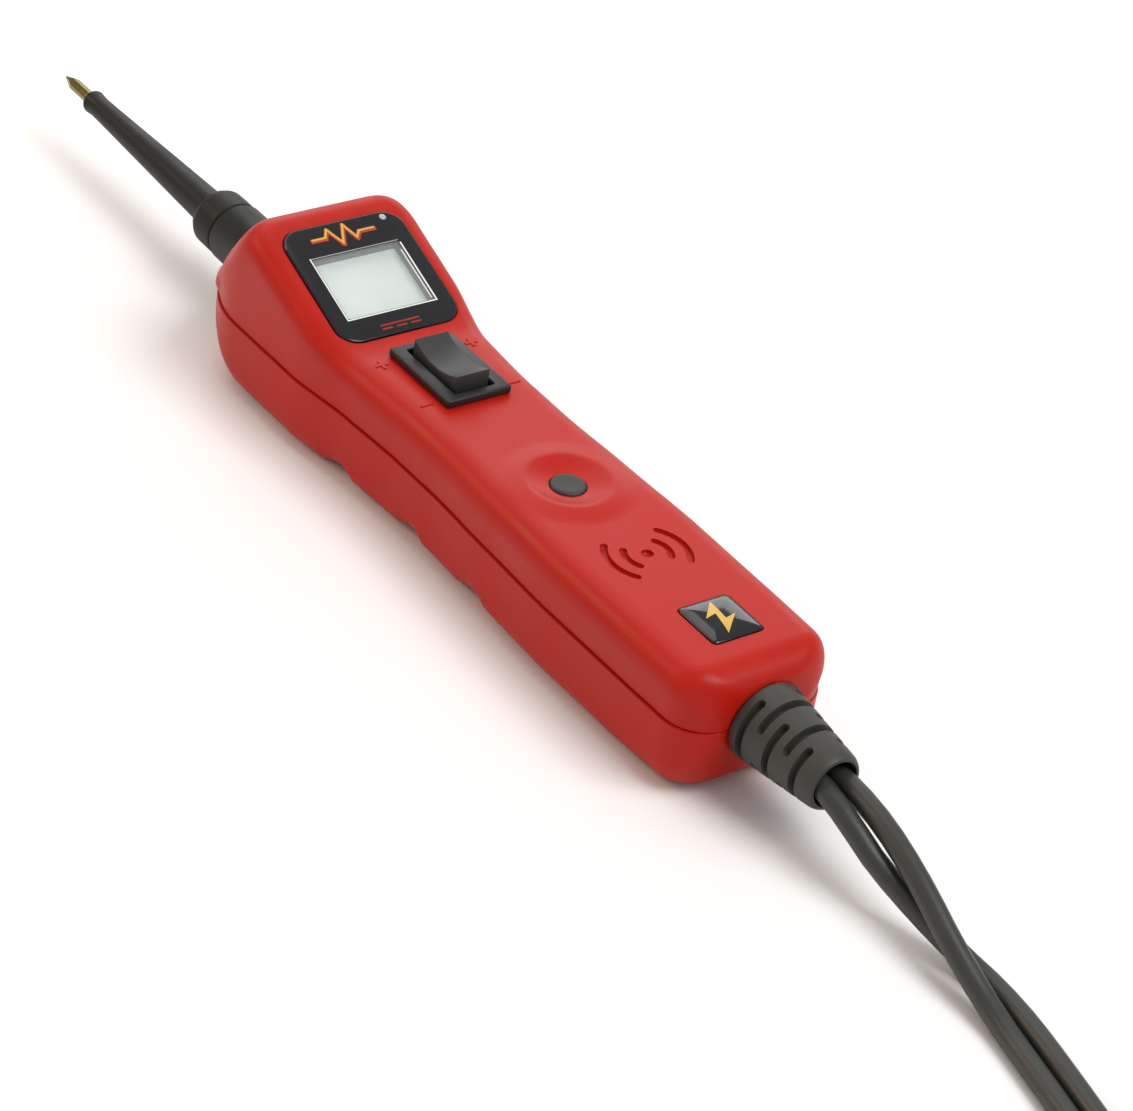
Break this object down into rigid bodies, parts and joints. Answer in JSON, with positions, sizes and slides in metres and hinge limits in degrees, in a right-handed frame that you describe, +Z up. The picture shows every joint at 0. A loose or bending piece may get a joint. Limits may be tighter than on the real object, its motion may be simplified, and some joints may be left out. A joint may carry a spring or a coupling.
{
  "type": "circuit test light",
  "caption": "Hand-held powered circuit tester with a tilted display head, rocker switch, long insulated probe, and coiled battery leads that end in sprung clips.",
  "frame": {"origin": "on the surface that the tool lies on, under the middle of its length from probe point to strain relief", "axes": "+X along the tool from the probe towards the leads, +Y to the right side, +Z up through the display side"},
  "size_m": [0.4921, 0.1133, 0.044],
  "materials": {
    "red_shell": "satin red, slightly soft moulded plastic",
    "black_plastic": "satin black moulded plastic",
    "gloss_black": "glossy black printed label",
    "window": "clear display window",
    "display": "pale grey-green liquid-crystal panel",
    "white_plastic": "white inner plastic",
    "flex": "amber flexible film",
    "lamp": "clear lamp dome",
    "board": "green solder mask",
    "brass": "bright turned brass",
    "steel": "plated steel",
    "rubber": "matt black rubber",
    "lead_rubber": "satin black cable insulation",
    "red_vinyl": "red vinyl",
    "black_vinyl": "black vinyl",
    "strap": "black hook-and-loop strap"
  },
  "bodies": {
    "tester": {"top_cover": "red_shell", "bottom_cover": "red_shell", "display_label": "gloss_black", "display_window": "window", "lcd_panel": "display", "lcd_backlight": "white_plastic", "lcd_holder": "white_plastic", "display_ribbon": "flex", "polarity_led": "lamp", "work_light_right": "lamp", "work_light_left": "lamp", "rocker_frame": "black_plastic", "switch_contact": "brass", "switch_terminal_1": "brass", "switch_terminal_2": "brass", "switch_terminal_3": "brass", "mode_switch": "black_plastic", "speaker": "black_plastic", "badge": "gloss_black", "circuit_board": "board", "main_chip": "black_plastic", "circuit_breaker": "white_plastic", "tip_wire": "red_vinyl", "positive_wire": "red_vinyl", "negative_wire": "black_vinyl", "probe_tip": "brass", "probe_sleeve": "rubber", "nose_collar": "rubber", "tip_socket": "brass", "strain_relief": "rubber", "positive_lead": "lead_rubber", "negative_lead": "lead_rubber", "positive_lead_tail": "lead_rubber", "negative_lead_tail": "lead_rubber", "lead_coil": "lead_rubber", "coil_tie_1": "strap", "coil_tie_2": "strap", "housing_screw_1": "steel", "housing_screw_2": "steel", "housing_screw_3": "steel", "housing_screw_4": "steel", "board_screw_1": "steel", "board_screw_2": "steel", "positive_lower_jaw": "steel", "positive_rivet": "steel", "positive_spring": "steel", "positive_lower_grip": "red_vinyl", "negative_lower_jaw": "steel", "negative_rivet": "steel", "negative_spring": "steel", "negative_lower_grip": "black_vinyl"},
    "rocker": {"rocker_button": "black_plastic", "rocker_plunger": "white_plastic"},
    "mode_button": {"mode_button": "black_plastic"},
    "positive_jaw": {"positive_upper_jaw": "steel", "positive_upper_grip": "red_vinyl"},
    "negative_jaw": {"negative_upper_jaw": "steel", "negative_upper_grip": "black_vinyl"}
  },
  "joints": [
    {"name": "rocker_tilt", "type": "hinge", "parent": "tester", "child": "rocker", "pos_m": [0.0133, 0, 0.0265], "axis": [0, 1, 0], "range_deg": [-9, 9], "stiffness_Nm_per_rad": 0.05},
    {"name": "mode_button_press", "type": "slide", "parent": "tester", "child": "mode_button", "axis": [0, 0, -1], "range_m": [0, 0.0005], "stiffness_N_per_m": 1000},
    {"name": "positive_clip_open", "type": "hinge", "parent": "tester", "child": "positive_jaw", "pos_m": [0.2697, 0.0626, 0.0366], "axis": [0, 0, 1], "range_deg": [0, 24], "stiffness_Nm_per_rad": 0.3, "springref_deg": -5.73},
    {"name": "negative_clip_open", "type": "hinge", "parent": "tester", "child": "negative_jaw", "pos_m": [0.2705, 0.0138, 0.0366], "axis": [0, 0, 1], "range_deg": [0, 24], "stiffness_Nm_per_rad": 0.3, "springref_deg": -5.73}
  ]
}
